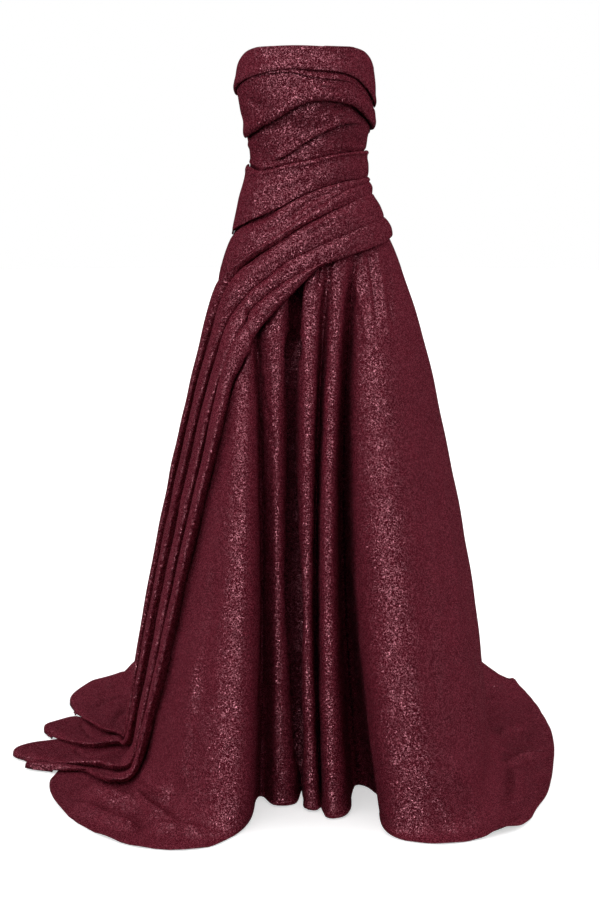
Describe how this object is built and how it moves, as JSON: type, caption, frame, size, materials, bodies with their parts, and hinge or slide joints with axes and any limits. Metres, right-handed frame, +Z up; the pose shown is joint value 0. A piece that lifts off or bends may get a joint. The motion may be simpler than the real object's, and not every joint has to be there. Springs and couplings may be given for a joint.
{
  "type": "strapless gown",
  "caption": "Strapless floor-length gown with a draped bodice, long folds from hip to train, a fluted skirt and a zip in the back.",
  "frame": {"origin": "middle of the waist, where the wearer holds the gown up", "axes": "+Z up, -Y the front, +X the wearer's left, +Y back along the train"},
  "size_m": [1.1334, 1.6771, 1.4409],
  "materials": {
    "lame": "burgundy metallic lame with a fine crinkled glitter",
    "zip_tape": "matt woven zip tape in the gown's colour",
    "zip_metal": "semi-gloss lacquer in the gown's colour"
  },
  "bodies": {
    "gown": {"bodice_front": "lame", "bodice_back_right": "lame", "bodice_back_left": "lame", "hip_drape_upper": "lame", "hip_drape_lower": "lame", "drape_fold_1": "lame", "drape_fold_2": "lame", "drape_fold_3": "lame", "drape_fold_4": "lame", "skirt_back_right": "lame", "skirt_front_right": "lame", "skirt_front_centre": "lame", "skirt_front_left": "lame", "skirt_back_left": "lame", "back_zip": "zip_tape", "zip_slider": "zip_metal"},
    "pull_tab": {"zip_pull": "zip_metal"}
  },
  "joints": [
    {"name": "zip_pull_hinge", "type": "hinge", "parent": "gown", "child": "pull_tab", "pos_m": [-0.00123, 0.0967, 0.141], "axis": [1, 0, 0], "range_deg": [-10, 170]}
  ]
}
